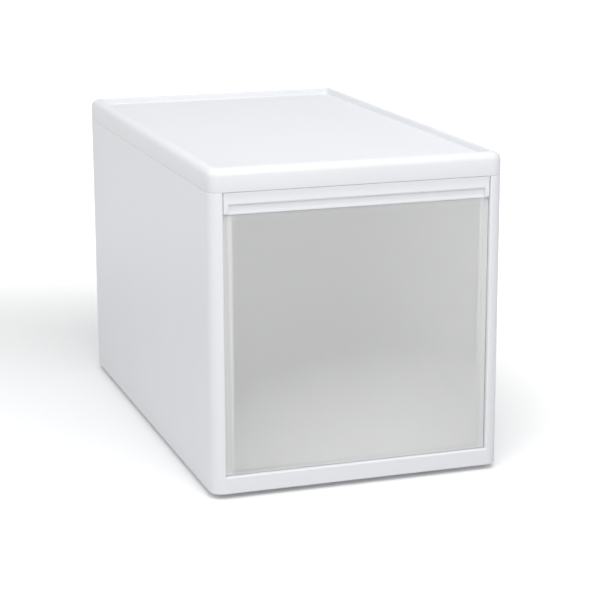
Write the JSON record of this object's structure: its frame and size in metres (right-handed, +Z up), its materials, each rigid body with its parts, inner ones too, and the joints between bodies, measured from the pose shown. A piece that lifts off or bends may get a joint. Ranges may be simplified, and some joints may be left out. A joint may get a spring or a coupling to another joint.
{
  "type": "stackable drawer box",
  "caption": "Upright white plastic case with a sunk-panel stacking lid and one deep frosted drawer with a slotted finger pull across its top.",
  "frame": {"origin": "middle of the bounding box seen from above, at the height of the plinth's foot", "axes": "+Z up, the drawer opens towards -Y, +X to the right of someone who looks at the front"},
  "size_m": [0.255, 0.43, 0.276],
  "materials": {
    "white_pp": "satin moulded, very fine grain",
    "frosted_pp": "frosted, lets light through and hides what is inside"
  },
  "bodies": {
    "case": {"front_frame": "white_pp", "left_side_panel": "white_pp", "right_side_panel": "white_pp", "back_panel": "white_pp", "base_panel": "white_pp", "top_lid": "white_pp", "drawer_stop_left": "white_pp", "drawer_stop_right": "white_pp"},
    "drawer": {"drawer_tray": "frosted_pp", "pull_rail": "white_pp"}
  },
  "joints": [
    {"name": "drawer_slide", "type": "slide", "parent": "case", "child": "drawer", "axis": [0, -1, 0], "range_m": [0, 0.3]}
  ]
}
